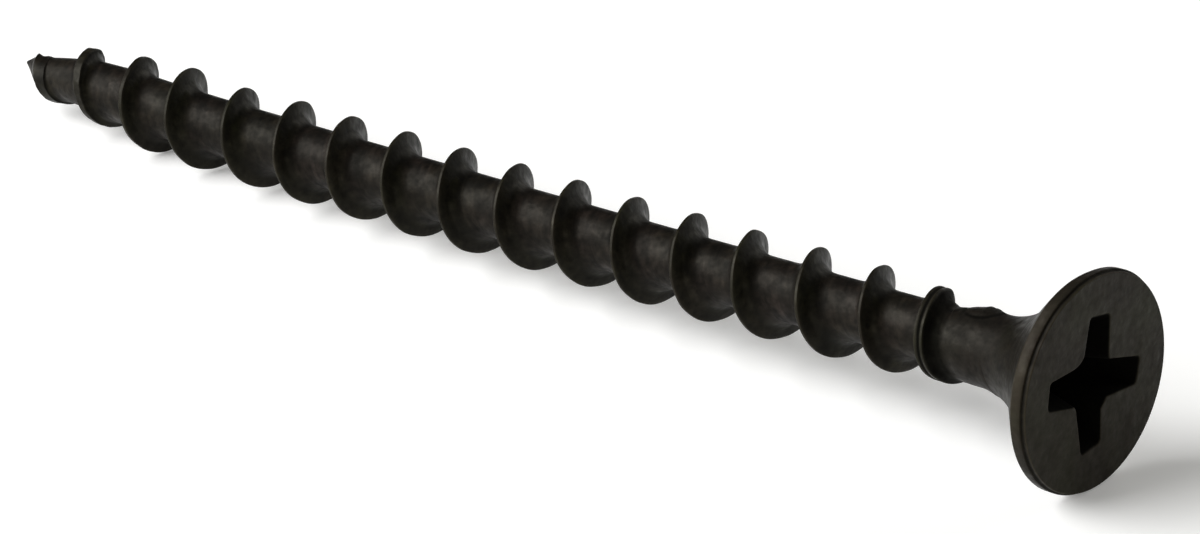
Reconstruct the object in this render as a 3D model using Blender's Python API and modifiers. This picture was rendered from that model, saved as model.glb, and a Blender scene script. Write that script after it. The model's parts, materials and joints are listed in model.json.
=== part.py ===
"""Drywall screw, 3.5 x 51 mm: bugle head, cross recess, coarse single-start right-hand thread, sharp point.

The screw is built upright along Z, with its point at the origin, and then laid down as it comes to rest:
on the rim of its head and on the crest of its thread, with the head towards +X.
"""

import math

import bmesh
import bpy
import numpy as np
from mathutils import Matrix

MM = 0.001

# Overall
OVERALL_LENGTH = 51.7 * MM
SHANK_DIAMETER = 2.82 * MM
SHANK_LENGTH = 0.25 * MM  # plain shank left between the bugle and the end of the thread

# Bugle head
HEAD_DIAMETER = 8.1 * MM
RIM_HEIGHT = 0.5 * MM
RIM_ROUNDING = 0.12 * MM
HEAD_CONE_ANGLE = math.radians(50)  # between the axis and the underside of the head
BUGLE_RADIUS = 2.8 * MM

# Thread
THREAD_DIAMETER = 3.64 * MM
ROOT_DIAMETER = 2.16 * MM
PITCH = 2.78 * MM
CREST_WIDTH = 0.12 * MM
FLANK_ANGLE = math.radians(22)  # of the straight upper flank, against a plane square to the axis
FILLET_WIDTH = 0.56 * MM  # what the fillet at the foot of each flank takes along the axis
FILLET_HEIGHT = 0.3 * MM
RUN_OUT_LENGTH = 3.1 * MM
THREAD_ANGLE = math.radians(138)  # turns the whole thread, counted from the side that lies down

# Point
POINT_LENGTH = 5.5 * MM
CREST_TAPER_LENGTH = 8.0 * MM
CREST_TAPER_POWER = 0.4
TIP_LENGTH = 0.9 * MM  # over which the thread grows out of the bare tip
POINT_PITCH = 2.57 * MM  # the thread is a little tighter over its taper
POINT_OFFSET = 0.27 * MM  # the pinched point sits a little off the axis
POINT_OFFSET_START = 9.0 * MM
POINT_OFFSET_END = 4.0 * MM
POINT_OFFSET_ANGLE = math.radians(161)

# Cross recess
RECESS_SPAN = 4.95 * MM  # across opposite wings, at the face
RECESS_DEPTH = 2.6 * MM
RECESS_TIP_DEPTH = 0.35 * MM  # of the small cone at the bottom
WING_WIDTH = 1.0 * MM
WING_EDGE_ANGLE = math.radians(26.5)
WING_SIDE_ANGLE = math.radians(2.5)
CORE_RADIUS = 1.02 * MM  # to the bevel between two wings
RECESS_ANGLE = math.radians(-8)

# Facets
HEAD_STEPS = 48
THREAD_STEPS = 32
BUGLE_STEPS = 7
ROUNDING_STEPS = 2
FILLET_STEPS = 2
SHARP_EDGE_ANGLE = math.radians(35)
CUTTER_OVERLAP = 0.4 * MM
MERGE_DISTANCE = 0.0005 * MM

# Finish
COATING_COLOR = (0.022, 0.021, 0.018, 1)
COATING_METALLIC = 0.35
COATING_ROUGHNESS = 0.45

# Search for the slope at which the screw rests
STEEPEST_TILT = math.radians(45)
TILT_HALVINGS = 40

HEAD_RADIUS = HEAD_DIAMETER / 2
SHANK_RADIUS = SHANK_DIAMETER / 2
CREST_RADIUS = THREAD_DIAMETER / 2
ROOT_RADIUS = ROOT_DIAMETER / 2


def clear_scene():
    for item in list(bpy.data.objects):
        bpy.data.objects.remove(item, do_unlink=True)


def make_collection(name):
    collection = bpy.data.collections.new(name)
    bpy.context.scene.collection.children.link(collection)
    return collection


def make_object(name, mesh, collection):
    item = bpy.data.objects.new(name, mesh)
    collection.objects.link(item)
    return item


def profile_mesh(name, points):
    """An open outline in the XZ plane, from (radius, height) pairs that run from top to bottom."""
    mesh = bpy.data.meshes.new(name)
    edges = [(i, i + 1) for i in range(len(points) - 1)]
    mesh.from_pydata([(radius, 0, height) for radius, height in points], edges, [])
    return mesh


def turned_mesh(name, points, steps, turns=1, rise=0.0):
    """The surface that an outline sweeps round the Z axis. With a rise for each turn it is a helix."""
    profile = bpy.data.objects.new(name + "_profile", profile_mesh(name + "_profile", points))
    bpy.context.scene.collection.objects.link(profile)
    screw = profile.modifiers.new("turn", "SCREW")
    screw.axis = "Z"
    screw.screw_offset = rise
    screw.iterations = turns
    screw.steps = steps
    screw.render_steps = steps
    screw.use_merge_vertices = True
    screw.merge_threshold = MERGE_DISTANCE
    graph = bpy.context.evaluated_depsgraph_get()
    mesh = bpy.data.meshes.new_from_object(profile.evaluated_get(graph))
    mesh.name = name
    bpy.data.objects.remove(profile, do_unlink=True)
    return mesh


def smoothstep(share):
    share = min(max(share, 0.0), 1.0)
    return share * share * (3 - 2 * share)


def bugle_outline():
    """The underside of the head as (radius, height), from the rim to where the curve meets the shank."""
    run = BUGLE_RADIUS * math.sin(HEAD_CONE_ANGLE)
    rise = BUGLE_RADIUS * (1 - math.cos(HEAD_CONE_ANGLE))
    cone_height = (HEAD_RADIUS - SHANK_RADIUS - rise) / math.tan(HEAD_CONE_ANGLE)
    neck = OVERALL_LENGTH - RIM_HEIGHT - cone_height - run
    points = [(HEAD_RADIUS, OVERALL_LENGTH - RIM_HEIGHT)]
    for i in range(BUGLE_STEPS + 1):
        angle = HEAD_CONE_ANGLE * (1 - i / BUGLE_STEPS)
        radius = SHANK_RADIUS + BUGLE_RADIUS * (1 - math.cos(angle))
        points.append((radius, neck + BUGLE_RADIUS * math.sin(angle)))
    return points


def head_outline():
    """The whole head, from the middle of its flat face over the rounded edge and down to the neck."""
    points = [(0.0, OVERALL_LENGTH)]
    for i in range(ROUNDING_STEPS + 1):
        angle = math.pi / 2 * i / ROUNDING_STEPS
        radius = HEAD_RADIUS - RIM_ROUNDING * (1 - math.sin(angle))
        points.append((radius, OVERALL_LENGTH - RIM_ROUNDING * (1 - math.cos(angle))))
    return points + bugle_outline()


def neck_height():
    return bugle_outline()[-1][1]


def flank_outline():
    """One side of the thread's ridge, as (radius, distance from the middle of the crest), crest first."""
    fillet_top = ROOT_RADIUS + FILLET_HEIGHT
    half_crest = CREST_WIDTH / 2
    shoulder = half_crest + (CREST_RADIUS - fillet_top) * math.tan(FLANK_ANGLE)
    points = [(CREST_RADIUS, half_crest)]
    for i in range(FILLET_STEPS + 1):
        share = i / FILLET_STEPS
        points.append((ROOT_RADIUS + FILLET_HEIGHT * (1 - share) ** 2, shoulder + FILLET_WIDTH * share))
    return points


def thread_outline():
    """One pitch of the thread, from the middle of one root to the middle of the next, top to bottom."""
    flank = flank_outline()
    upper = [(radius, distance) for radius, distance in reversed(flank)]
    lower = [(radius, -distance) for radius, distance in flank]
    return [(ROOT_RADIUS, PITCH / 2)] + upper + lower + [(ROOT_RADIUS, -PITCH / 2)]


def root_radius_at(height):
    """The core under the thread: an ogive at the point, the shank's own radius at the head end."""
    if height < POINT_LENGTH:
        arc = (POINT_LENGTH**2 + ROOT_RADIUS**2) / (2 * ROOT_RADIUS)
        return ROOT_RADIUS - arc + math.sqrt(arc**2 - (POINT_LENGTH - height) ** 2)
    run_out_end = neck_height() - SHANK_LENGTH
    share = smoothstep((run_out_end - height) / RUN_OUT_LENGTH)
    return SHANK_RADIUS + (ROOT_RADIUS - SHANK_RADIUS) * share


def crest_radius_at(height):
    """The thread's crest: it grows quickly from the point and sinks into the shank at the head end."""
    root = root_radius_at(height)
    taper = min(max(height / CREST_TAPER_LENGTH, 0.0), 1.0) ** CREST_TAPER_POWER
    taper *= smoothstep((height + TIP_LENGTH) / (2 * TIP_LENGTH))  # half grown at the very tip
    run_out_end = neck_height() - SHANK_LENGTH
    run_out = min(max((run_out_end - height) / RUN_OUT_LENGTH, 0.0), 1.0)
    return root + (max(CREST_RADIUS * taper, root) - root) * run_out


def shape_thread(bm):
    """Moves each point of the full helix in or out, so that it follows the point and the run-out."""
    for vert in bm.verts:
        radius = math.hypot(vert.co.x, vert.co.y)
        lift = (radius - ROOT_RADIUS) / (CREST_RADIUS - ROOT_RADIUS)
        root = root_radius_at(vert.co.z)
        wanted = root + lift * (crest_radius_at(vert.co.z) - root)
        vert.co.x *= wanted / radius
        vert.co.y *= wanted / radius


def tighten_point(bm):
    """Presses the helix together over its taper, where the pitch is shorter."""
    for vert in bm.verts:
        if vert.co.z < CREST_TAPER_LENGTH:
            vert.co.z = CREST_TAPER_LENGTH - (CREST_TAPER_LENGTH - vert.co.z) * POINT_PITCH / PITCH


def offset_point(bm):
    """Moves the point sideways, in a smooth curve from the straight part of the thread."""
    for vert in bm.verts:
        share = smoothstep((POINT_OFFSET_START - vert.co.z) / (POINT_OFFSET_START - POINT_OFFSET_END))
        vert.co.x += POINT_OFFSET * share * math.cos(POINT_OFFSET_ANGLE)
        vert.co.y += POINT_OFFSET * share * math.sin(POINT_OFFSET_ANGLE)


def cut_flat(bm, height, keep_above):
    """Cuts the mesh square to its axis and drops one side."""
    bmesh.ops.bisect_plane(
        bm,
        geom=bm.verts[:] + bm.edges[:] + bm.faces[:],
        dist=MERGE_DISTANCE,
        plane_co=(0, 0, height),
        plane_no=(0, 0, 1),
        clear_inner=keep_above,
        clear_outer=not keep_above,
    )


def thread_mesh():
    """The threaded length, from the sharp point up to the neck, where it stays open.

    The helix has whole turns to spare below the point and above the neck, where it is cut off.
    """
    loose_tip = CREST_TAPER_LENGTH * (1 - PITCH / POINT_PITCH)  # where the tip lies before it is tightened
    turns_below = math.ceil(max(-loose_tip, 0.0) / PITCH) + 1
    turns = turns_below + math.ceil(neck_height() / PITCH) + 2
    mesh = turned_mesh("thread", thread_outline(), THREAD_STEPS, turns, PITCH)
    bm = bmesh.new()
    bm.from_mesh(mesh)
    first_crest = -PITCH * (turns_below + THREAD_ANGLE / math.tau)
    bmesh.ops.translate(bm, verts=bm.verts, vec=(0, 0, first_crest))
    tighten_point(bm)
    cut_flat(bm, 0.0, keep_above=True)
    cut_flat(bm, neck_height() - SHANK_LENGTH / 2, keep_above=False)
    shape_thread(bm)
    bmesh.ops.remove_doubles(bm, verts=bm.verts, dist=MERGE_DISTANCE)
    offset_point(bm)
    bm.to_mesh(mesh)
    bm.free()
    return mesh


def screw_mesh():
    """Thread and head as one closed skin, joined by a short band of plain shank."""
    bm = bmesh.new()
    bm.from_mesh(turned_mesh("head", head_outline(), HEAD_STEPS))
    half_facet = Matrix.Rotation(math.pi / HEAD_STEPS, 3, "Z")  # a facet of the rim lies down, not a corner
    bmesh.ops.rotate(bm, verts=bm.verts, matrix=half_facet)
    bm.from_mesh(thread_mesh())
    open_edges = [edge for edge in bm.edges if edge.is_boundary]
    bmesh.ops.bridge_loops(bm, edges=open_edges)
    bmesh.ops.recalc_face_normals(bm, faces=bm.faces)
    mesh = bpy.data.meshes.new("drywall_screw")
    bm.to_mesh(mesh)
    bm.free()
    mesh.shade_smooth()
    mesh.set_sharp_from_angle(angle=SHARP_EDGE_ANGLE)
    return mesh


def recess_ring(bm, depth):
    """The outline of the cross at one depth under the face: four wings, with bevels between them."""
    reach = RECESS_SPAN / 2 - depth * math.tan(WING_EDGE_ANGLE)
    half_width = WING_WIDTH / 2 - depth * math.tan(WING_SIDE_ANGLE)
    core = CORE_RADIUS - depth * math.tan(WING_SIDE_ANGLE)
    inner = core * math.sqrt(2) - half_width
    wing_corners = ((inner, -half_width), (reach, -half_width), (reach, half_width), (inner, half_width))
    ring = []
    for wing in range(4):
        turn = RECESS_ANGLE + wing * math.pi / 2
        for along, across in wing_corners:
            x = along * math.cos(turn) - across * math.sin(turn)
            y = along * math.sin(turn) + across * math.cos(turn)
            ring.append(bm.verts.new((x, y, OVERALL_LENGTH - depth)))
    return ring


def recess_cutter_mesh():
    bm = bmesh.new()
    mouth = recess_ring(bm, -CUTTER_OVERLAP)
    bottom = recess_ring(bm, RECESS_DEPTH)
    bm.faces.new(mouth)
    for i, vert in enumerate(mouth):
        following = (i + 1) % len(mouth)
        bm.faces.new((vert, mouth[following], bottom[following], bottom[i]))
    floor = bm.faces.new(bottom)
    cone = bmesh.ops.poke(bm, faces=[floor])
    bmesh.ops.translate(bm, verts=cone["verts"], vec=(0, 0, -RECESS_TIP_DEPTH))
    bmesh.ops.recalc_face_normals(bm, faces=bm.faces)
    mesh = bpy.data.meshes.new("recess_cutter")
    bm.to_mesh(mesh)
    bm.free()
    return mesh


def black_phosphate():
    material = bpy.data.materials.new("black_phosphate")
    material.use_nodes = True
    shader = material.node_tree.nodes["Principled BSDF"]
    shader.inputs["Base Color"].default_value = COATING_COLOR
    shader.inputs["Metallic"].default_value = COATING_METALLIC
    shader.inputs["Roughness"].default_value = COATING_ROUGHNESS
    material.diffuse_color = COATING_COLOR
    return material


def evaluated_points(item):
    """The object's vertices with its modifiers applied, in its own axes."""
    bpy.context.view_layer.update()
    evaluated = item.evaluated_get(bpy.context.evaluated_depsgraph_get())
    mesh = evaluated.to_mesh()
    points = np.empty(len(mesh.vertices) * 3, np.float32)
    mesh.vertices.foreach_get("co", points)
    evaluated.to_mesh_clear()
    return points.reshape(-1, 3).astype(float)


def resting_tilt(points):
    """The slope of the axis at which the head's rim and the thread touch the floor together."""
    under_head = points[:, 2] > neck_height()
    low, high = 0.0, STEEPEST_TILT
    for _ in range(TILT_HALVINGS):
        tilt = (low + high) / 2
        heights = points[:, 2] * math.sin(tilt) - points[:, 0] * math.cos(tilt)
        if heights[under_head].min() > heights[~under_head].min():
            high = tilt
        else:
            low = tilt
    return (low + high) / 2


def lay_down(item):
    """Turns the screw onto its side and sets the middle of its footprint at the origin."""
    points = evaluated_points(item)
    item.rotation_euler = (0, math.pi / 2 - resting_tilt(points), 0)
    turn = np.array(item.rotation_euler.to_matrix())
    laid = points @ turn.T
    low, high = laid.min(axis=0), laid.max(axis=0)
    item.location = (-(low[0] + high[0]) / 2, -(low[1] + high[1]) / 2, -low[2])


def main():
    clear_scene()
    parts = make_collection("drywall_screw")
    cutters = make_collection("cutters")
    screw = make_object("drywall_screw", screw_mesh(), parts)
    screw.data.materials.append(black_phosphate())
    cutter = make_object("recess_cutter", recess_cutter_mesh(), cutters)
    cutter.parent = screw
    cutter.hide_render = True
    cutter.display_type = "WIRE"
    recess = screw.modifiers.new("recess", "BOOLEAN")
    recess.operation = "DIFFERENCE"
    recess.solver = "EXACT"
    recess.object = cutter
    lay_down(screw)


main()
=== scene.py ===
import json
import math
import bmesh
import bpy
from mathutils import Matrix, Vector, noise


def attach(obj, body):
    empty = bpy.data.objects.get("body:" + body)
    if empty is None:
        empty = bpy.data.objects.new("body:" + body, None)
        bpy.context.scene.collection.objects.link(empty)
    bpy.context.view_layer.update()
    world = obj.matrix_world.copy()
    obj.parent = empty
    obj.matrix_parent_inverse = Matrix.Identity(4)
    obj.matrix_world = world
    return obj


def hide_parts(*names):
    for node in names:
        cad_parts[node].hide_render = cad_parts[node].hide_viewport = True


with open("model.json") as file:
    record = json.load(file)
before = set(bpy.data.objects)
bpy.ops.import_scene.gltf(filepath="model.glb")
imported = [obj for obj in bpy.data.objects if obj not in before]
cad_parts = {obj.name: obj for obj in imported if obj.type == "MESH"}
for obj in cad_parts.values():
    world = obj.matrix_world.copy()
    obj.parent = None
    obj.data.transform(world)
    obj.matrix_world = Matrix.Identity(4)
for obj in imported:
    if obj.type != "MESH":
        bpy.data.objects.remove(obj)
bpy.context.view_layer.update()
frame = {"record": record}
print("packed screw loaded")

# The screw is shaped in millimetres, standing on its point along Z, and then laid down in metres.
# Angles round it count from the side that ends up on the floor.
mm = 0.001
mergeDistance = 0.0004
shankBody = {
    "length": 51.7,
    "rootRadius": 1.08,
    "shankRadius": 1.345,
    "pointLength": 5.5,  # of the core under the first turns
    "pointPower": 0.3,
    "nubRadius": 0.06,  # the small cone at the very end
    "nubSlope": 0.6,
    "rootEnd": 44.9,  # from here the core grows to the plain shank
    "rootFade": 2.0,
    "joinHeight": 48.4,  # where thread and head are joined, already on the curve of the bugle
    "joinGap": 0.12,
    "joinMerge": 0.042,  # points closer than this on the thread's cut end become one
}
headShape = {
    "radius": 4.05,
    "edgeRounding": 0.035,
    "edgeSteps": 4,
    "rimHeight": 0.52,
    "rimFoot": 0.12,  # rounding under the rim
    "rimPoint": 0.45,  # share of the rim's height above one more ring of points
    "coneAngle": math.radians(49.5),
    "coneSteps": 6,
    "bugleRadius": 3.4,
    "bugleSteps": 16,
    "supportRing": 0.04,
    "faceHeight": 0.05,  # of the face over the nominal length
    "stepWidth": 0.08,  # the face is smaller than the rim, with painted shade in the crease between them
    "stepHeight": 0.17,
    "stepPoint": 0.7,  # share of the step above one more ring of points
    "creaseShade": 0.25,
    "creaseSpread": 1.6,
    "edgeHighlightReach": 1.5,  # how far the painted highlight along the face's edge reaches, in roundings of the edge
    "rimHighlight": 0.8,
    "rimHighlightAllRound": 0.2,  # share of the rim's painted highlight all round, and more of it on the side the light falls on
    "rimHighlightAngle": math.radians(245),
    "rimHighlightHalf": math.radians(65),
    "steps": 120,
}
threadShape = {
    "pitch": 2.78,
    "crestRadius": 1.845,
    "crestWidth": 0.12,
    "crestShares": (0.0, 0.1, 0.3),  # points on the crest, from its middle to its edge
    "crestRounding": 0.035,
    "roundingSteps": 3,
    "flankAngle": math.radians(22),
    "flankSteps": 4,
    "filletWidth": 0.56,
    "filletHeight": 0.3,
    "filletSteps": 6,
    "rootSteps": 4,
    "turnAngle": math.radians(138),
    "stepsPerTurn": 120,
    "spareTurns": 2,
    "taperLength": 8.0,
    "taperPower": 0.4,
    "tipLength": 1.2,
    "pointPitch": 2.57,
    # small faults of rolling, each as height, half the stretch it covers and how much:
    # turns that come a little late, and turns that didn't fill quite up to the full crest
    "lateTurns": [(6.2, 2.4, 0.15), (13.1, 3.8, 0.18), (41.2, 5.0, 0.19)],
    "lowCrests": [(11.2, 3.0, 0.09), (0.7, 1.2, 0.12)],
    "crestWaver": 0.05,
    "waverRise": 0.9,
    "tipBlunt": 0.21,  # over the point the crests are blunter and rougher
    "tipBluntEnd": 9.0,
    "tipWaver": 0.13,
    "tipWaverScale": 2.2,
    "tipShade": 0.8,  # with painted shade beside the crest
    "tipShadeLift": 0.8,
    "tipShadeHalf": 0.2,
    "firstCrest": 0.7,  # the crest that grows out of the point is a round hump
    "firstHalf": 1.2,
    "firstBlunt": 0.25,
}
runOut = {
    "start": 42.2,
    "end": 47.25,
    "power": 0.75,
    "endRadius": 1.36,
    "stopLength": 0.15,
    "tightenStart": 44.6,  # the last ring lies squarer to the axis
    "tightenLength": 1.5,
    "tighten": 0.42,
    "bluntStart": 43.4,
    "bluntLength": 1.6,
    "blunt": 0.16,
    "seamDepth": 0.03,
    "seamWidth": 0.03,
    "shadeTooth": 0.2,
    "leanLength": 0.42,
    # painted shade on the flank of the last ring that faces the head, which keeps light off it
    "flankShade": 0.75,
    "flankShadeFoot": 5,  # how sharply that starts over the root
    "flankShadeCrest": 8,  # and ends under the crest
}


def smooth(share):
    share = min(max(share, 0.0), 1.0)
    return share * share * (3 - 2 * share)


def mix(low, high, share):
    return low + (high - low) * share


def swell(height, middle, half):  # 1 in the middle of a stretch, 0 at its ends
    return smooth(1 - abs(height - middle) / half)


def neckHeight():  # where the bugle starts to flare
    shape = headShape
    angle = shape["coneAngle"]
    flare = shape["bugleRadius"] * (1 - math.cos(angle))
    cone = (shape["radius"] - shankBody["shankRadius"] - flare) / math.tan(angle)
    return shankBody["length"] - shape["rimHeight"] - cone - shape["bugleRadius"] * math.sin(angle)


neck = neckHeight()
faceTop = shankBody["length"] + headShape["faceHeight"]


def coreRadius(height):
    body = shankBody
    if height < body["pointLength"]:
        radius = body["rootRadius"] * (max(height, 0.0) / body["pointLength"]) ** body["pointPower"]
        return min(max(radius, body["nubRadius"]), body["nubRadius"] + body["nubSlope"] * height)
    grown = smooth((height - body["rootEnd"]) / body["rootFade"])
    radius = mix(body["rootRadius"], body["shankRadius"], grown)
    flare = height - neck
    if flare > 0:
        radius += headShape["bugleRadius"] - math.sqrt(headShape["bugleRadius"] ** 2 - flare**2)
    return radius


def crestRadius(height):
    core = coreRadius(height)
    grown = min(max(height / threadShape["taperLength"], 0.0), 1.0) ** threadShape["taperPower"]
    grown *= smooth((height + threadShape["tipLength"]) / (2 * threadShape["tipLength"]))
    radius = max(threadShape["crestRadius"] * grown, core)
    for middle, half, loss in threadShape["lowCrests"]:
        radius -= loss * swell(height, middle, half)
    left = min(max((runOut["end"] - height) / (runOut["end"] - runOut["start"]), 0.0), 1.0)
    radius = min(radius, mix(runOut["endRadius"], threadShape["crestRadius"], left ** runOut["power"]))
    stopped = smooth((height - runOut["end"]) / runOut["stopLength"])
    return mix(max(radius, core), core, stopped)


def toothSide():  # half a tooth as (lift, distance from the crest), lift 1 at the crest and 0 at the root
    shape = threadShape
    depth = shape["crestRadius"] - shankBody["rootRadius"]
    half = shape["crestWidth"] / 2
    curve = shape["crestRounding"]
    land = half - curve * math.tan(math.pi / 4 - shape["flankAngle"] / 2)
    points = [(1.0, half * share) for share in shape["crestShares"]] + [(1.0, land)]
    steps = shape["roundingSteps"]
    for i in range(1, steps + 1):
        angle = (math.pi / 2 - shape["flankAngle"]) * i / steps
        points.append((1.0 - curve * (1 - math.cos(angle)) / depth, land + curve * math.sin(angle)))
    filletLift = shape["filletHeight"] / depth
    shoulder = half + (1 - filletLift) * depth * math.tan(shape["flankAngle"])
    start = points[-1]
    steps = shape["flankSteps"]
    for i in range(1, steps):
        points.append((mix(start[0], filletLift, i / steps), mix(start[1], shoulder, i / steps)))
    steps = shape["filletSteps"]
    for i in range(steps):
        points.append((filletLift * (1 - i / steps) ** 2, shoulder + shape["filletWidth"] * i / steps))
    start = points[-1][1]
    steps = shape["rootSteps"]
    for i in range(1, steps + 1):
        points.append((0.0, mix(start, shape["pitch"] / 2, i / steps)))
    return points


def tighten(height):  # the turns are closer over the taper and in the last ring under the head
    start = threadShape["taperLength"]
    late = sum(shift * swell(height, middle, half) for middle, half, shift in threadShape["lateTurns"])
    if height < start:
        return start - (start - height) * threadShape["pointPitch"] / threadShape["pitch"] + late
    closer = runOut["tighten"] * smooth((height - runOut["tightenStart"]) / runOut["tightenLength"])
    return height + late - closer


# one turn is swept and copied, with turns to spare at both ends; its radii are stand-ins until shapeThread
def sweepThread(bm, liftLayer, sideLayer, crestLayer):
    shape = threadShape
    side = toothSide()
    outline = [(lift, away) for lift, away in reversed(side)] + [(lift, -away) for lift, away in side[1:]]
    verts = []
    for lift, away in outline:
        vert = bm.verts.new((1 + lift, 0, away))
        vert[liftLayer] = lift
        vert[sideLayer] = away
        verts.append(vert)
    edges = [bm.edges.new(pair) for pair in zip(verts, verts[1:])]
    looseTip = shape["taperLength"] * (1 - shape["pitch"] / shape["pointPitch"])
    turnsBelow = math.ceil(max(-looseTip, 0.0) / shape["pitch"]) + 1
    turns = turnsBelow + math.ceil(shankBody["joinHeight"] / shape["pitch"]) + shape["spareTurns"]
    firstCrest = -shape["pitch"] * (turnsBelow + shape["turnAngle"] / math.tau)
    bmesh.ops.translate(bm, verts=verts, vec=(0, 0, firstCrest))
    bmesh.ops.spin(
        bm,
        geom=verts + edges,
        cent=(0, 0, 0),
        axis=(0, 0, 1),
        dvec=(0, 0, shape["pitch"] / shape["stepsPerTurn"]),
        angle=math.tau,
        steps=shape["stepsPerTurn"],
        use_merge=False,
    )
    oneTurn = bm.verts[:] + bm.edges[:] + bm.faces[:]
    for turn in range(1, turns):
        copy = bmesh.ops.duplicate(bm, geom=oneTurn)
        copied = [item for item in copy["geom"] if isinstance(item, bmesh.types.BMVert)]
        bmesh.ops.translate(bm, verts=copied, vec=(0, 0, shape["pitch"] * turn))
    for vert in bm.verts:
        vert[crestLayer] = tighten(vert.co.z - vert[sideLayer])
        vert.co.z = tighten(vert.co.z)


def cutAt(bm, height, keepAbove):
    bmesh.ops.bisect_plane(
        bm,
        geom=bm.verts[:] + bm.edges[:] + bm.faces[:],
        dist=mergeDistance,
        plane_co=(0, 0, height),
        plane_no=(0, 0, 1),
        clear_inner=keepAbove,
        clear_outer=not keepAbove,
    )


def shapeThread(bm, liftLayer, sideLayer, crestLayer):
    # the depth layer holds painted shade: beside the crests over the point, along the last ring's seam and on
    # its flank
    paintedShadeLayer = bm.verts.layers.float.new("depth")
    shape = threadShape
    reach = shape["crestWidth"] / 2 + shape["filletWidth"]
    for vert in bm.verts:
        lift, away, crest = vert[liftLayer], vert[sideLayer], vert[crestLayer]
        blunt = smooth((crest - runOut["bluntStart"]) / runOut["bluntLength"])
        blunt *= 1 - smooth((crest - runOut["end"]) / runOut["stopLength"])
        nearPoint = 1 - smooth(crest / shape["tipBluntEnd"])
        if lift > 0:
            wide = max(1 - abs(away) / reach, 0.0) * min(abs(away) / runOut["seamWidth"], 1.0)
            grown = smooth(vert.co.z)
            worn = shape["tipBlunt"] * nearPoint * grown
            if away > 0:
                worn += shape["firstBlunt"] * swell(crest, shape["firstCrest"], shape["firstHalf"]) * grown
            vert.co.z += math.copysign((runOut["blunt"] * blunt + worn) * wide, away)
        if away > 0:  # towards the head the last ring ends in a long hollow
            beyond = (away - reach) / (shape["pitch"] / 2 - reach)
            vert.co.z += runOut["leanLength"] * blunt * (1 - smooth(beyond)) * smooth(away / reach)
        core = coreRadius(vert.co.z)
        waver = shape["crestWaver"] * noise.noise((vert.co.x, vert.co.y, crest * shape["waverRise"]))
        waver += shape["tipWaver"] * nearPoint * noise.noise(vert.co * shape["tipWaverScale"])
        tooth = max(crestRadius(crest) - core, 0.0)
        radius = core + lift * tooth * (1 + waver * lift)
        shade = blunt * min(tooth / runOut["shadeTooth"], 1.0)
        # painted shade beside the crests over the point
        tipShare = smooth(vert.co.z) * nearPoint
        beside = swell(lift, shape["tipShadeLift"], shape["tipShadeHalf"])
        vert[paintedShadeLayer] = shape["tipShade"] * tipShare * beside
        # a shallow seam along the crest of the last ring, with painted shade along it
        if abs(away) < runOut["seamWidth"] / 2:
            radius -= runOut["seamDepth"] * shade * lift
            vert[paintedShadeLayer] = max(vert[paintedShadeLayer], shade)
        elif away > 0:
            # painted shade on the flank towards the head
            flank = smooth(lift * runOut["flankShadeFoot"]) * smooth((1 - lift) * runOut["flankShadeCrest"])
            vert[paintedShadeLayer] = max(vert[paintedShadeLayer], runOut["flankShade"] * shade * flank)
        scale = radius / math.hypot(vert.co.x, vert.co.y)
        vert.co.x *= scale
        vert.co.y *= scale


def threadPart():
    bm = bmesh.new()
    liftLayer = bm.verts.layers.float.new("lift")
    sideLayer = bm.verts.layers.float.new("side")
    crestLayer = bm.verts.layers.float.new("crest")
    sweepThread(bm, liftLayer, sideLayer, crestLayer)
    cutAt(bm, 0.0, keepAbove=True)
    cutAt(bm, shankBody["joinHeight"], keepAbove=False)
    shapeThread(bm, liftLayer, sideLayer, crestLayer)
    bmesh.ops.remove_doubles(bm, verts=bm.verts, dist=mergeDistance)
    cut = shankBody["joinHeight"] - mergeDistance
    ring = [vert for vert in bm.verts if vert.is_boundary and vert.co.z > cut]
    bmesh.ops.remove_doubles(bm, verts=ring, dist=shankBody["joinMerge"])
    end = [edge for edge in bm.edges if edge.is_boundary and edge.verts[0].co.z < shankBody["pointLength"]]
    bmesh.ops.holes_fill(bm, edges=end)
    return bm


def roundedEdge(radius, height):  # a quarter round in place of an outer corner of the head
    curve = headShape["edgeRounding"]
    steps = headShape["edgeSteps"]
    points = []
    for i in range(steps + 1):
        angle = math.pi / 2 * i / steps
        points.append((radius - curve * (1 - math.sin(angle)), height - curve * (1 - math.cos(angle))))
    return points


def headOutline():  # as (radius, height), from the edge of the flat face down to the join with the thread
    shape = headShape
    inner = shape["radius"] - shape["stepWidth"]
    crease = faceTop - shape["stepHeight"]
    points = [(inner - shape["edgeRounding"] - shape["supportRing"], faceTop)]
    points += roundedEdge(inner, faceTop)
    points.append((inner, mix(faceTop, crease, shape["stepPoint"])))
    points.append((inner, crease))
    points += roundedEdge(shape["radius"], crease)
    rimBottom = shankBody["length"] - shape["rimHeight"]
    foot = shape["rimFoot"] * math.tan((math.pi / 2 - shape["coneAngle"]) / 2)
    points.append((shape["radius"], mix(crease, rimBottom, shape["rimPoint"])))
    steps = shape["edgeSteps"]
    for i in range(steps + 1):
        angle = (math.pi / 2 - shape["coneAngle"]) * i / steps
        points.append((
            shape["radius"] - shape["rimFoot"] * (1 - math.cos(angle)),
            rimBottom + foot - shape["rimFoot"] * math.sin(angle),
        ))
    bugle = []
    steps = shape["bugleSteps"]
    join = math.asin((shankBody["joinHeight"] + shankBody["joinGap"] - neck) / shape["bugleRadius"])
    for i in range(steps + 1):
        height = neck + shape["bugleRadius"] * math.sin(mix(shape["coneAngle"], join, i / steps))
        bugle.append((coreRadius(height), height))
    last = points[-1]
    steps = shape["coneSteps"]
    for i in range(1, steps):
        points.append((mix(last[0], bugle[0][0], i / steps), mix(last[1], bugle[0][1], i / steps)))
    return points + bugle


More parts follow.
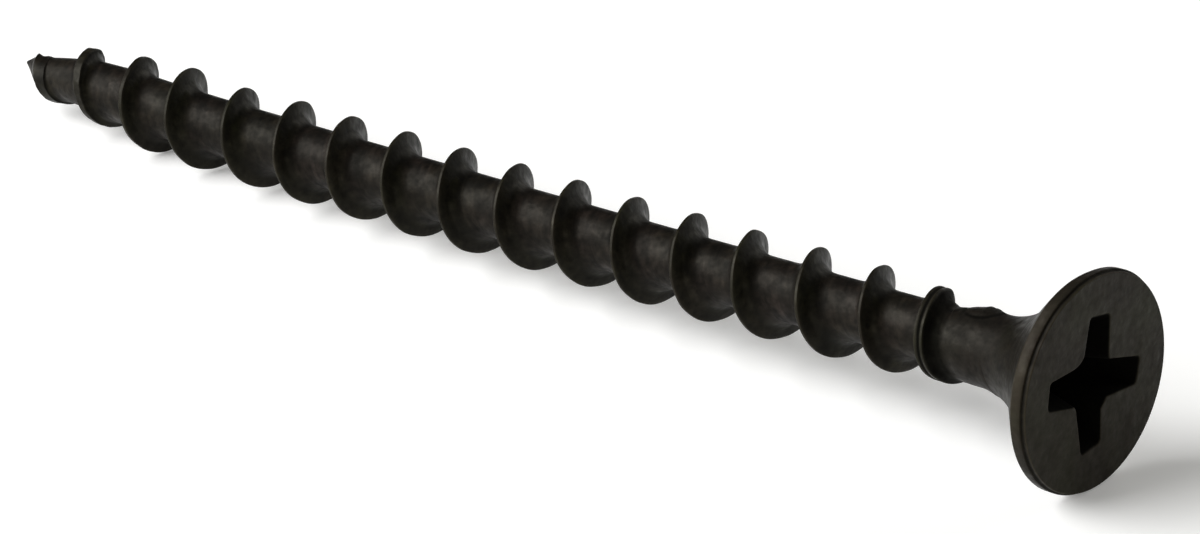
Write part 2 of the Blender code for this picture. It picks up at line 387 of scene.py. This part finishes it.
def addHead(bm):
    outline = headOutline()
    verts = [bm.verts.new((radius, 0, height)) for radius, height in outline]
    edges = [bm.edges.new(pair) for pair in zip(verts, verts[1:])]
    bmesh.ops.spin(
        bm,
        geom=verts + edges,
        cent=(0, 0, 0),
        axis=(0, 0, 1),
        angle=math.tau,
        steps=headShape["steps"],
        use_merge=True,
    )


recessShape = {
    "angle": math.radians(-8.4),
    "depth": 2.6,
    "tipDepth": 0.35,
    "edgeAngle": math.radians(26.5),
    "sideAngle": math.radians(2.5),
    "wallSteps": 8,
    "cornerTaper": 0.45,
    "cornerSteps": 8,
    "rounding": 0.17,
    "roundingSteps": 3,
    "lip": 0.06,
    "lipSteps": 4,
    "supportRing": 0.05,
    # the wings of the formed cross aren't equal: reach and half width on the two sides of each,
    # and the corner towards the next wing as three points along and across this one
    "wings": [
        {"reach": (2.53, 2.31), "half": (0.49, 0.58), "corner": ((1.01, 0.45), (0.82, 0.59), (0.63, 0.72))},
        {"reach": (2.42, 2.48), "half": (0.51, 0.50), "corner": ((0.80, 0.73), (0.68, 0.77), (0.62, 0.95))},
        {"reach": (2.45, 2.49), "half": (0.47, 0.65), "corner": ((1.31, 0.77), (0.91, 0.95), (0.70, 1.58))},
        {"reach": (2.63, 2.63), "half": (0.55, 0.51), "corner": ((1.20, 0.64), (1.03, 0.71), (0.93, 0.95))},
    ],
}


def wingPoint(index, along, across):
    angle = recessShape["angle"] + math.pi / 2 * index
    return Vector((
        along * math.cos(angle) - across * math.sin(angle),
        along * math.sin(angle) + across * math.cos(angle),
    ))


# points of the cross at a depth under the face, grown outwards for the rounding of its lip
def recessLoop(grow, depth):
    shape = recessShape
    cut = grow - depth * math.tan(shape["edgeAngle"])
    wider = grow - depth * math.tan(shape["sideAngle"])
    closer = 1 - shape["cornerTaper"] * depth / shape["depth"]
    rounding = shape["rounding"]
    steps = shape["roundingSteps"]
    points = []
    for index, wing in enumerate(shape["wings"]):
        following = shape["wings"][(index + 1) % len(shape["wings"])]
        for i in range(steps + 1):
            angle = math.pi / 2 * i / steps - math.pi / 2
            along = wing["reach"][0] + cut - rounding * (1 - math.cos(angle))
            across = rounding * (1 + math.sin(angle)) - wing["half"][0] - wider
            points.append(wingPoint(index, along, across))
        for i in range(steps + 1):
            angle = math.pi / 2 * i / steps
            along = wing["reach"][1] + cut - rounding * (1 - math.cos(angle))
            across = wing["half"][1] + wider - rounding * (1 - math.sin(angle))
            points.append(wingPoint(index, along, across))
        begin, middle, end = [wingPoint(index, *corner) for corner in wing["corner"]]
        for point in (begin, middle, end):
            point *= closer * (1 + wider / point.length)
        control = 2 * middle - (begin + end) / 2
        points.append(points[-1].lerp(begin, 0.5))
        for i in range(shape["cornerSteps"] + 1):
            share = i / shape["cornerSteps"]
            points.append(begin * (1 - share) ** 2 + control * 2 * share * (1 - share) + end * share**2)
        outer = wingPoint(index + 1, following["reach"][0] + cut - rounding, -following["half"][0] - wider)
        points.append(end.lerp(outer, 0.5))
    return points


def firstRing(bm, points, height):
    spot = bm.verts.layers.int.new("spot")
    verts = [bm.verts.new((point.x, point.y, height)) for point in points]
    for i, vert in enumerate(verts):
        vert[spot] = i
    return [bm.edges.new((verts[i], verts[(i + 1) % len(verts)])) for i in range(len(verts))]


def nextRing(bm, edges, points, height, dark):  # the last ring is drawn out to the places of the next one
    spot = bm.verts.layers.int["spot"]
    depth = bm.verts.layers.float["depth"]
    drawn = bmesh.ops.extrude_edge_only(bm, edges=edges)["geom"]
    for vert in drawn:
        if isinstance(vert, bmesh.types.BMVert):
            point = points[vert[spot]]
            vert.co = (point.x, point.y, height)
            # dark is the painted shade that the new ring carries
            vert[depth] = dark
    return [edge for edge in drawn if isinstance(edge, bmesh.types.BMEdge)]


def addFace(bm):
    shape = recessShape
    loose = [edge for edge in bm.edges if edge.is_boundary]
    rim = [edge for edge in loose if abs(edge.verts[0].co.z - faceTop) < mergeDistance]
    ring = firstRing(bm, recessLoop(shape["lip"] + shape["supportRing"], 0.0), faceTop)
    bmesh.ops.triangle_fill(bm, edges=rim + ring, use_beauty=True, normal=(0, 0, 1))
    # painted shade grows down the lip and is full on the walls and floor of the recess
    steps = shape["lipSteps"]
    for i in range(steps + 1):
        angle = math.pi / 2 * i / steps
        sunk = shape["lip"] * (1 - math.cos(angle))
        points = recessLoop(shape["lip"] * (1 - math.sin(angle)), sunk)
        ring = nextRing(bm, ring, points, faceTop - sunk, i / steps)
    steps = shape["wallSteps"]
    for i in range(1, steps + 1):
        sunk = mix(shape["lip"], shape["depth"], i / steps)
        ring = nextRing(bm, ring, recessLoop(0.0, sunk), faceTop - sunk, 1.0)
    floor = bmesh.ops.contextual_create(bm, geom=ring)["faces"]
    centre = bmesh.ops.poke(bm, faces=floor)["verts"]
    bmesh.ops.translate(bm, verts=centre, vec=(0, 0, -shape["tipDepth"]))
    # full painted shade at the bottom of the recess
    centre[0][bm.verts.layers.float["depth"]] = 1.0


# a burr that was pressed flat on the shank
shankScar = {
    "height": 46.75,
    "halfLength": 0.75,
    "angle": math.radians(168),
    "halfAngle": math.radians(28),
    "lift": 0.055,
    "edge": 0.4,  # width of its steep side, as a share of its size
    # width and strength of the painted shade round its edge
    "outline": 0.22,
    "shade": 1.0,
}
# places where the edge of the head was knocked in, and how deep at the rim's foot and at the face
rimNicks = [
    {"angle": math.radians(176), "halfAngle": math.radians(34), "foot": 0.1, "edge": 0.02},
    {"angle": math.radians(199), "halfAngle": math.radians(9), "foot": 0.02, "edge": 0.03},
]
nickReach = {"radius": 3.5, "fade": 0.35}


def turnFrom(vert, angle):  # how far round the screw a point lies from an angle, at most half a turn
    turn = math.atan2(vert.co.y, vert.co.x) - angle
    return (turn + math.pi) % math.tau - math.pi


def nickRim(bm):
    for vert in bm.verts:
        radius = math.hypot(vert.co.x, vert.co.y)
        above = vert.co.z - (shankBody["length"] - headShape["rimHeight"])
        if radius < nickReach["radius"] or above < -nickReach["fade"]:
            continue
        height = smooth(above / headShape["rimHeight"])
        cut = 0.0
        for nick in rimNicks:
            near = swell(turnFrom(vert, nick["angle"]), 0.0, nick["halfAngle"])
            cut += near * mix(nick["foot"], nick["edge"], height)
        scale = 1 - cut * smooth(above / nickReach["fade"] + 1) / radius
        vert.co.x *= scale
        vert.co.y *= scale


def scarShank(bm):
    depth = bm.verts.layers.float["depth"]
    for vert in bm.verts:
        along = (vert.co.z - shankScar["height"]) / shankScar["halfLength"]
        share = math.hypot(along, turnFrom(vert, shankScar["angle"]) / shankScar["halfAngle"])
        if share < 1 + shankScar["outline"]:
            scale = 1 + shankScar["lift"] * smooth((1 - share) / shankScar["edge"]) / shankBody["shankRadius"]
            vert.co.x *= scale
            vert.co.y *= scale
            # painted shade round the edge of the burr
            vert[depth] = max(vert[depth], shankScar["shade"] * swell(share, 1.0, shankScar["outline"]))


def joinHead(bm):
    level = shankBody["joinHeight"]
    near = 2 * shankBody["joinGap"]
    loose = [edge for edge in bm.edges if edge.is_boundary and abs(edge.verts[0].co.z - level) < near]
    bmesh.ops.bridge_loops(bm, edges=loose)


flowShape = {
    "width": 0.44,  # of the pattern round one groove of the thread
    "rise": 0.28,  # and along the screw
    "headWidth": 1.6,
    "headRise": 0.12,
    "plainTone": 0.5,
    "toothTone": 3,  # how quickly the tone changes from the root up the flank
    "faceScale": 0.5,
    "faceStreaks": 0.15,
    "faceRubbed": 0.36,
    "faceTone": 0.9,
    "lipDepth": 0.25,  # the painted highlight on the lip of the recess is strongest where the painted shade has this value
    "crestWearAndHighlight": 0.25,
    "crestLift": 0.9,  # rubbed from here to the crest
    "crestFade": 0.1,
    "calmStart": 45.3,  # the plain shank and the bugle are smoother
    "calm": 0.22,
    "fullTooth": 0.3,
    "fade": 1.2,  # no streaks over the join of thread and head
}


# what the coating reads: where the flow lines run, how strong they are, the painted shade in hollows, in the
# crease and beside crests, where wear and painted highlights lie, and the tone between the redder grooves and
# the greener flanks
def paintScrew(bm):
    flow = bm.verts.layers.float_vector.new("flow")
    streaks = bm.verts.layers.float.new("streaks")
    depth = bm.verts.layers.float["depth"]
    wearAndHighlight = bm.verts.layers.float.new("wearAndHighlight")
    tone = bm.verts.layers.float.new("tone")
    lift = bm.verts.layers.float["lift"]
    side = bm.verts.layers.float["side"]
    crest = bm.verts.layers.float["crest"]
    shape = headShape
    for vert in bm.verts:
        radius = math.hypot(vert.co.x, vert.co.y)
        height = vert.co.z
        calm = smooth(height - flowShape["calmStart"])
        vert[streaks] = mix(1.0, flowShape["calm"], calm)
        vert[streaks] *= smooth(abs(height - shankBody["joinHeight"]) / flowShape["fade"])
        vert[tone] = flowShape["plainTone"]
        if height < shankBody["joinHeight"]:
            angle = math.tau * vert[side] / threadShape["pitch"]
            vert[flow] = (
                flowShape["width"] * math.cos(angle),
                flowShape["width"] * math.sin(angle),
                flowShape["rise"] * height,
            )
            tooth = smooth((crestRadius(vert[crest]) - coreRadius(height)) / flowShape["fullTooth"])
            vert[tone] = smooth(vert[lift] * flowShape["toothTone"]) * tooth
            # wear and painted highlight along the crests
            full = smooth(vert[crest] / threadShape["tipBluntEnd"])
            top = smooth((vert[lift] - flowShape["crestLift"]) / flowShape["crestFade"])
            vert[wearAndHighlight] = flowShape["crestWearAndHighlight"] * top * tooth * full
        elif height > faceTop - mergeDistance or vert[depth] > 0:
            vert[flow] = vert.co * flowShape["faceScale"]
            # a painted highlight along the lip of the recess, and the face's own rubbed colour
            lip = swell(vert[depth], flowShape["lipDepth"], flowShape["lipDepth"])
            vert[wearAndHighlight] = max(lip, flowShape["faceRubbed"] * (1 - vert[depth]))
            vert[streaks] = flowShape["faceStreaks"]
            vert[tone] = flowShape["faceTone"]
        else:
            vert[flow] = (
                flowShape["headWidth"] * vert.co.x / radius,
                flowShape["headWidth"] * vert.co.y / radius,
                flowShape["headRise"] * height,
            )
            # a painted highlight along the face's edge
            inner = shape["radius"] - shape["stepWidth"]
            edge = math.hypot(radius - inner, height - faceTop)
            vert[wearAndHighlight] = smooth(shape["edgeHighlightReach"] - edge / shape["edgeRounding"])
            # the rim carries a painted highlight, strongest on the side the light falls on
            if radius > inner:
                near = swell(turnFrom(vert, shape["rimHighlightAngle"]), 0.0, shape["rimHighlightHalf"])
                share = mix(shape["rimHighlightAllRound"], 1.0, near)
                vert[wearAndHighlight] = max(vert[wearAndHighlight], shape["rimHighlight"]) * share
                vert[tone] = 0.0
            # painted shade in the crease between the face and the rim
            crease = math.hypot(radius - inner, height - (faceTop - shape["stepHeight"]))
            dark = smooth(shape["creaseSpread"] * (1 - crease / shape["stepHeight"]))
            vert[depth] = shape["creaseShade"] * dark


screwLean = {
    "pivot": 46.9,  # the head leans a little to one side from here
    "ease": 1.5,
    "angle": 0.0273,
    "towards": math.radians(298.4),
    "bow": 0.07,  # and the shank is bent a little, from the middle of its length
    "bowMiddle": 25.0,
    "bowHalf": 18.0,
    "bowEnd": 44.0,
    "bowLevel": -0.01,
    "bowTowards": math.radians(161),
    "pinchOffset": 0.27,  # the pinched point starts off the axis and comes back to it
    "pinchStart": 12.0,
    "pinchEnd": 4.0,
    "pinchReturn": 0.27,
    "pinchCore": 0.6,  # the core follows less than the crests
    "nubOffset": 0.27,
    "nubLength": 1.4,
    "straighten": 0.6,  # of the bow, over the run-out
    "straightenLength": 3.0,
}


# how far the middle of the screw lies off its straight axis, and the slope of the head
def axisShift(height, lift):
    lean = screwLean
    above = height - lean["pivot"]
    if above <= 0:
        shift, slope = 0.0, 0.0
    elif above < lean["ease"]:
        shift, slope = above**2 / (2 * lean["ease"]), above / lean["ease"]
    else:
        shift, slope = above - lean["ease"] / 2, 1.0
    away = Vector((math.cos(lean["towards"]), math.sin(lean["towards"])))
    up = Vector((math.cos(lean["bowTowards"]), math.sin(lean["bowTowards"])))
    share = (min(height, lean["bowEnd"]) - lean["bowMiddle"]) / lean["bowHalf"]
    pinch = min(max((lean["pinchStart"] - height) / (lean["pinchStart"] - lean["pinchEnd"]), 0.0), 1.0)
    bow = lean["bow"] * share**2 + lean["bowLevel"]
    bow *= 1 - lean["straighten"] * smooth((height - lean["bowEnd"]) / lean["straightenLength"])
    offset = lean["pinchOffset"] * pinch**2 - lean["pinchReturn"] * smooth(1 - height / lean["pinchEnd"])
    nub = lean["nubOffset"] * smooth(1 - height / lean["nubLength"])
    bow += offset * mix(lean["pinchCore"], 1.0, lift) + nub
    return away * (shift * lean["angle"]) + up * bow, away * (slope * lean["angle"])


def bendScrew(bm):
    liftLayer = bm.verts.layers.float["lift"]
    for vert in bm.verts:
        shift, slope = axisShift(vert.co.z, vert[liftLayer])
        vert.co.z -= vert.co.x * slope.x + vert.co.y * slope.y
        vert.co.x += shift.x
        vert.co.y += shift.y


def laidDown():  # from the standing screw to its place in the frame
    seat = next(mount for mount in frame["record"]["mounts"] if mount["name"] == "driver_recess")
    axis = Vector(seat["axis"])
    turn = Matrix(((axis.z, 0, axis.x), (0, 1, 0), (-axis.x, 0, axis.z))).to_4x4()
    standing = Matrix.Translation((0, 0, -shankBody["length"]))
    return Matrix.Translation(seat["pos_m"]) @ turn @ Matrix.Scale(mm, 4) @ standing


def addPiece(bm, name):
    mesh = bpy.data.meshes.new(name)
    bm.to_mesh(mesh)
    bm.free()
    piece = bpy.data.objects.new(name, mesh)
    bpy.context.scene.collection.objects.link(piece)
    return piece


def fineScrew():
    bm = threadPart()
    print("thread swept", len(bm.verts), "points")
    addHead(bm)
    joinHead(bm)
    addFace(bm)
    bmesh.ops.recalc_face_normals(bm, faces=bm.faces)
    paintScrew(bm)
    nickRim(bm)
    scarShank(bm)
    bendScrew(bm)
    bmesh.ops.transform(bm, matrix=laidDown(), verts=bm.verts)
    print("open edges", sum(not edge.is_manifold for edge in bm.edges))
    screw = addPiece(bm, "fineScrew")
    screw.data.shade_smooth()
    return screw


screw = fineScrew()
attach(screw, "root")
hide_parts("drywall_screw")
print("screw built", len(screw.data.polygons), "faces")

floorShape = {
    "size": 3.0,
    "color": (0.93, 0.93, 0.925, 1),
    "roughness": 0.7,
    "glow": 0.19,  # it glows a little, as a lit table does
}
backdropShape = {
    "radius": 1.4,
    "height": 2.4,
    "segments": 64,
    "color": (0.0, 0.0, 0.0, 1),
    "roughness": 0.5,
    "glow": 0.9,
}


def glowingPaper(name, look):
    material = bpy.data.materials.new(name)
    material.use_nodes = True
    shader = material.node_tree.nodes["Principled BSDF"]
    shader.inputs["Base Color"].default_value = look["color"]
    shader.inputs["Roughness"].default_value = look["roughness"]
    shader.inputs["Emission Color"].default_value = (1, 1, 1, 1)
    shader.inputs["Emission Strength"].default_value = look["glow"]
    return material


def makeFloor():
    bm = bmesh.new()
    bmesh.ops.create_grid(bm, x_segments=1, y_segments=1, size=floorShape["size"] / 2)
    floor = addPiece(bm, "paleFloor")
    floor.data.materials.append(glowingPaper("palePaper", floorShape))
    return floor


def makeBackdrop():  # a round wall behind it all, which the screw neither reflects nor is lit by
    bm = bmesh.new()
    bmesh.ops.create_cone(
        bm,
        segments=backdropShape["segments"],
        radius1=backdropShape["radius"],
        radius2=backdropShape["radius"],
        depth=backdropShape["height"],
        cap_ends=False,
    )
    bmesh.ops.reverse_faces(bm, faces=bm.faces)
    wall = addPiece(bm, "backdrop")
    wall.data.materials.append(glowingPaper("backdropPaper", backdropShape))
    wall.visible_diffuse = False
    wall.visible_glossy = False
    wall.visible_shadow = False
    return wall


makeFloor()
makeBackdrop()

photoCamera = {
    "aim": (0.0012, 0.00277, 0.0),  # on the floor, in metres
    "distance": 0.23137,
    "azimuth": math.radians(39.83),
    "elevation": math.radians(25.26),
    "lens": 186.3,
    "clipStart": 0.01,
}


def makeCamera():
    view = photoCamera
    camera = bpy.data.objects.new("photoCamera", bpy.data.cameras.new("photoCamera"))
    bpy.context.scene.collection.objects.link(camera)
    camera.data.lens = view["lens"]
    camera.data.clip_start = view["clipStart"]
    back = Vector((
        math.sin(view["azimuth"]) * math.cos(view["elevation"]),
        -math.cos(view["azimuth"]) * math.cos(view["elevation"]),
        math.sin(view["elevation"]),
    ))
    camera.location = Vector(view["aim"]) + back * view["distance"]
    camera.rotation_euler = (math.pi / 2 - view["elevation"], 0, view["azimuth"])
    bpy.context.scene.camera = camera


makeCamera()

lamps = [
    {
        "name": "softboxLeft",
        "place": (-0.42, -0.43, 0.42),
        "size": (0.7, 0.62),
        "power": 10.0,
        "color": (1, 1, 1),
    },
    {
        "name": "softboxBack",
        "place": (0.08, 0.6, 0.29),
        "size": (0.6, 0.3),
        "power": 1.15,
        "color": (1, 0.98, 0.92),
    },
    {
        "name": "softboxRight",
        "place": (0.66, -0.2, 0.18),
        "size": (0.6, 0.34),
        "power": 0.95,
        "color": (1, 0.97, 0.84),
    },
]
studio = {"color": (0.97, 1.0, 0.97, 1), "strength": 0.032}


def makeLamps():
    for lamp in lamps:
        light = bpy.data.lights.new(lamp["name"], "AREA")
        light.shape = "RECTANGLE"
        light.size, light.size_y = lamp["size"]
        light.energy = lamp["power"]
        light.color = lamp["color"]
        item = bpy.data.objects.new(lamp["name"], light)
        item.location = lamp["place"]
        item.rotation_euler = (-Vector(lamp["place"])).to_track_quat("-Z", "Y").to_euler()
        bpy.context.scene.collection.objects.link(item)
    world = bpy.data.worlds.new("studio")
    world.use_nodes = True
    background = world.node_tree.nodes["Background"]
    background.inputs["Color"].default_value = studio["color"]
    background.inputs["Strength"].default_value = studio["strength"]
    bpy.context.scene.world = world
    bpy.context.scene.view_settings.view_transform = "Standard"


makeLamps()
print("floor, camera and lamps placed")

blackPhosphate = {
    "olive": (0.005, 0.005, 0.0028, 1),
    "mauve": (0.0066, 0.0049, 0.0041, 1),
    "toneShare": 0.45,
    "detail": 4.0,  # of every noise but the mottle
    "noiseRange": (0.3, 0.7),  # most of a noise lies in it
    "blotchScale": 420.0,  # scales count per metre
    "mottleScale": 1500.0,
    "mottleDetail": 3.0,
    "mottleRange": (0.35, 1.75),
    "streakScale": 2.8,  # and for the streaks per millimetre
    "streakWander": 0.6,
    "streakRange": (0.5, 1.6),
    "grainScale": 3600.0,
    "grainRange": (0.5, 1.6),
    "pitScale": 1500.0,
    "pitEdge": (0.1, 0.2),
    "pitShade": 0.45,
    "wearAndHighlightOlive": (0.043, 0.042, 0.023, 1),
    "wearAndHighlightWarm": (0.053, 0.038, 0.026, 1),
    "wearAndHighlightShare": 0.65,
    "wearAndHighlightRange": (0.35, 1.0),  # patchy, not the same all over
    # the colour left under the fullest painted shade
    "depthShade": 0.05,
    "depthDull": 0.6,
    "roughness": (0.58, 0.28),
    "roughMottle": 0.5,  # share of the mottle in it, the rest is grain
    "grooveDull": 0.08,
    "specular": 0.098,
    "specularTint": (1.0, 0.95, 0.82, 1),
    "grainBump": 0.4,
    "grainHeight": 0.00002,
    "streakBump": 0.3,
    "streakHeight": 0.00003,
    "mottleBump": 0.7,
    "mottleHeight": 0.00006,
}


def addNode(tree, kind, values=None, **settings):  # a value may be a number, a colour or the socket to read
    node = tree.nodes.new(kind)
    for name, setting in settings.items():
        setattr(node, name, setting)
    for name, value in (values or {}).items():
        if isinstance(value, bpy.types.NodeSocket):
            tree.links.new(value, node.inputs[name])
        else:
            node.inputs[name].default_value = value
    return node


def painted(tree, name):  # one of the values that paintScrew wrote
    return addNode(tree, "ShaderNodeAttribute", attribute_name=name)


def cloud(tree, vector, scale, detail):
    return addNode(tree, "ShaderNodeTexNoise", {"Vector": vector, "Scale": scale, "Detail": detail})


def ranged(tree, value, old, new):  # values between the two old ones become those between the two new ones
    values = {"Value": value, "From Min": old[0], "From Max": old[1], "To Min": new[0], "To Max": new[1]}
    return addNode(tree, "ShaderNodeMapRange", values).outputs["Result"]


def spread(tree, value, new):
    return ranged(tree, value, blackPhosphate["noiseRange"], new)


def added(tree, first, second):
    return addNode(tree, "ShaderNodeMath", {0: first, 1: second}, operation="ADD").outputs[0]


def product(tree, first, second):
    return addNode(tree, "ShaderNodeMath", {0: first, 1: second}, operation="MULTIPLY").outputs[0]


def between(tree, factor, first, second):
    return addNode(tree, "ShaderNodeMix", {"Factor": factor, "A": first, "B": second}).outputs[0]


def scaled(tree, color, value):
    node = addNode(tree, "ShaderNodeVectorMath", {0: color, "Scale": value}, operation="SCALE")
    return node.outputs["Vector"]


def mixed(tree, factor, first, second):  # of two colours, whose sockets are the 7th and 8th of the node
    node = addNode(tree, "ShaderNodeMix", {"Factor": factor, 6: first, 7: second}, data_type="RGBA")
    return node.outputs[2]


def addBump(tree, height, strength, distance, normal=None):
    node = addNode(tree, "ShaderNodeBump", {"Height": height, "Strength": strength, "Distance": distance})
    if normal:
        tree.links.new(normal, node.inputs["Normal"])
    return node.outputs["Normal"]


def coating():
    look = blackPhosphate
    material = bpy.data.materials.new("blackPhosphate")
    material.use_nodes = True
    tree = material.node_tree
    shader = tree.nodes["Principled BSDF"]
    place = addNode(tree, "ShaderNodeTexCoord").outputs["Object"]
    flow = painted(tree, "flow").outputs["Vector"]
    streaks = painted(tree, "streaks").outputs["Fac"]
    depth = painted(tree, "depth").outputs["Fac"]
    wearAndHighlight = painted(tree, "wearAndHighlight").outputs["Fac"]
    tone = painted(tree, "tone").outputs["Fac"]

    # patches of the crystal coat, some greener and some redder
    blotch = cloud(tree, place, look["blotchScale"], look["detail"]).outputs["Fac"]
    patch = between(tree, look["toneShare"], spread(tree, blotch, (0.0, 1.0)), tone)
    color = mixed(tree, patch, look["mauve"], look["olive"])

    # streaks left by rolling, along the thread and down the bugle
    lines = cloud(tree, flow, look["streakScale"], look["detail"])
    lines.inputs["Distortion"].default_value = look["streakWander"]
    streak = lines.outputs["Fac"]
    color = scaled(tree, color, between(tree, streaks, 1.0, spread(tree, streak, look["streakRange"])))

    # mottle, fading where the streaks do, and a fine grain all over
    mottle = cloud(tree, place, look["mottleScale"], look["mottleDetail"]).outputs["Fac"]
    color = scaled(tree, color, between(tree, streaks, 1.0, spread(tree, mottle, look["mottleRange"])))
    grain = cloud(tree, place, look["grainScale"], look["detail"]).outputs["Fac"]
    color = scaled(tree, color, spread(tree, grain, look["grainRange"]))

    # small pits, faintest on the smooth bugle and the face
    cells = addNode(tree, "ShaderNodeTexVoronoi", {"Vector": place, "Scale": look["pitScale"]})
    pit = ranged(tree, cells.outputs["Distance"], look["pitEdge"], (look["pitShade"], 1.0))
    pits = between(tree, streaks, 1.0, pit)
    color = scaled(tree, color, pits)

    # rubbed crests with painted highlights on them and on the edges, and painted shade in the recess, the
    # crease and beside the crests
    share = product(tree, wearAndHighlight, look["wearAndHighlightShare"])
    share = product(tree, share, spread(tree, blotch, look["wearAndHighlightRange"]))
    wornAndLit = mixed(tree, spread(tree, blotch, (0.0, 1.0)), look["wearAndHighlightWarm"], look["wearAndHighlightOlive"])
    color = mixed(tree, share, color, wornAndLit)
    # painted shade from the depth attribute, multiplied into the colour
    color = scaled(tree, color, ranged(tree, depth, (0.0, 1.0), (1.0, look["depthShade"])))
    tree.links.new(color, shader.inputs["Base Color"])

    # the coat is duller down in the grooves than on the flanks, and dullest in the recess
    rough = spread(tree, between(tree, look["roughMottle"], grain, mottle), look["roughness"])
    rough = added(tree, rough, ranged(tree, tone, (0.0, 1.0), (look["grooveDull"], 0.0)))
    rough = added(tree, rough, ranged(tree, depth, (0.0, 1.0), (0.0, look["depthDull"])))
    tree.links.new(rough, shader.inputs["Roughness"])
    shader.inputs["Specular IOR Level"].default_value = look["specular"]
    shader.inputs["Specular Tint"].default_value = look["specularTint"]

    # relief of the mottle, then of the streaks, then of grain and pits
    normal = addBump(tree, mottle, look["mottleBump"], look["mottleHeight"])
    normal = addBump(tree, product(tree, streak, streaks), look["streakBump"], look["streakHeight"], normal)
    normal = addBump(tree, product(tree, grain, pits), look["grainBump"], look["grainHeight"], normal)
    tree.links.new(normal, shader.inputs["Normal"])
    return material


screw.data.materials.append(coating())
print("coating made")
